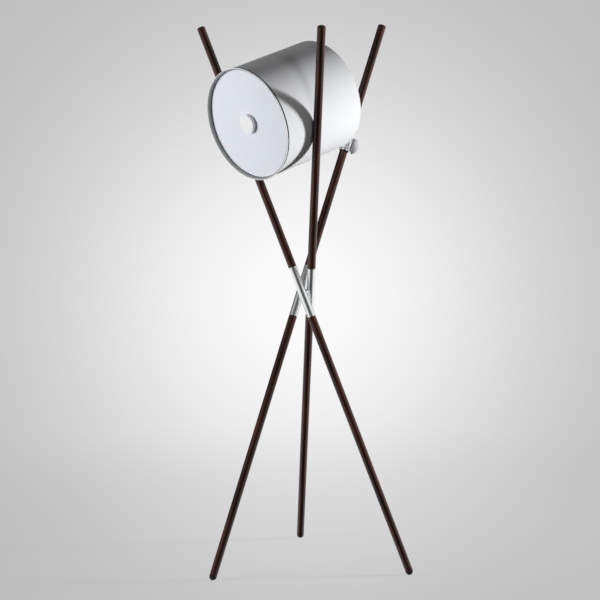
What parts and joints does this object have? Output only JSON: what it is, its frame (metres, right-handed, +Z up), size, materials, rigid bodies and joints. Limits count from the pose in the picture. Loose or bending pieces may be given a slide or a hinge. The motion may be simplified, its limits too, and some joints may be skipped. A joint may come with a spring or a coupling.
{
  "type": "floor lamp",
  "caption": "Floor lamp with a satin aluminium drum head cradled in a twisted tripod of dark wooden rods joined by bright sleeves at the waist.",
  "frame": {"origin": "on the floor, under the middle of the whole lamp's box", "axes": "+Z up, the drum faces -Y and its tilt pivot runs along X"},
  "size_m": [0.6106, 0.6644, 1.5995],
  "materials": {
    "dark_wood": "dark stained, satin lacquer",
    "bright_aluminium": "polished, clear anodised",
    "satin_drum": "bead blasted, matt silver anodised",
    "lip_ring": "bright, matt silver anodised",
    "opal_diffuser": "opal, satin",
    "white_knob": "white, smooth",
    "grey_knob": "fine matt light grey",
    "black_rubber": "matt",
    "steel": "zinc plated",
    "brass": "plain",
    "white_paint": "white, matt",
    "bracket_paint": "silver grey, satin",
    "black_nylon": "moulded",
    "holder_plastic": "moulded",
    "bulb_glass": "frosted"
  },
  "bodies": {
    "tripod": {"upper_rod_1": "dark_wood", "upper_rod_2": "dark_wood", "upper_rod_3": "dark_wood", "lower_rod_1": "dark_wood", "lower_rod_2": "dark_wood", "lower_rod_3": "dark_wood", "waist_sleeve_1": "bright_aluminium", "waist_sleeve_2": "bright_aluminium", "waist_sleeve_3": "bright_aluminium", "waist_links": "bright_aluminium", "foot_tip_1": "black_rubber", "foot_tip_2": "black_rubber", "foot_tip_3": "black_rubber", "rod_studs": "steel"},
    "collar": {"leg_collar": "bright_aluminium", "collar_liner": "black_nylon", "clamp_pad": "brass", "pivot_bolt": "steel", "pivot_nut": "steel", "pivot_washers": "black_nylon"},
    "clamp": {"clamp_stud": "steel", "clamp_knob": "grey_knob"},
    "head": {"drum_shell": "satin_drum", "front_ring": "lip_ring", "diffuser_disc": "opal_diffuser", "diffuser_gasket": "black_rubber", "rear_cover": "satin_drum", "tie_rods": "steel", "tie_screws_front": "steel", "tie_screws_rear": "steel", "chassis_plate": "white_paint", "chassis_spacers": "steel", "chassis_clips": "steel", "reflector": "white_paint", "lamp_holders": "holder_plastic", "lamp_bulbs": "bulb_glass", "terminal_block": "holder_plastic", "centre_post": "steel", "post_nuts": "steel", "knob_washers": "black_rubber", "cable_gland": "black_nylon", "gland_locknut": "black_nylon", "head_bracket": "bracket_paint", "bracket_backing": "steel", "bracket_screws": "steel"},
    "front_knob": {"diffuser_knob": "white_knob"}
  },
  "joints": [
    {"name": "collar_slide", "type": "slide", "parent": "tripod", "child": "collar", "axis": [0.0375, 0.376, 0.9259], "range_m": [0, 0.1]},
    {"name": "clamp_knob_turn", "type": "hinge", "parent": "collar", "child": "clamp", "pos_m": [-0.01533, 0.18072, 1.24709], "axis": [0.7066, 0.6452, -0.2906], "range_deg": [0, 360]},
    {"name": "head_tilt", "type": "hinge", "parent": "collar", "child": "head", "pos_m": [-0.01544, 0.15272, 1.25522], "axis": [-1, 0, 0], "range_deg": [0, 40]},
    {"name": "diffuser_knob_turn", "type": "hinge", "parent": "head", "child": "front_knob", "pos_m": [-0.01544, -0.20992, 1.32042], "axis": [0, 0.9677, 0.2521], "range_deg": [0, 360]}
  ]
}
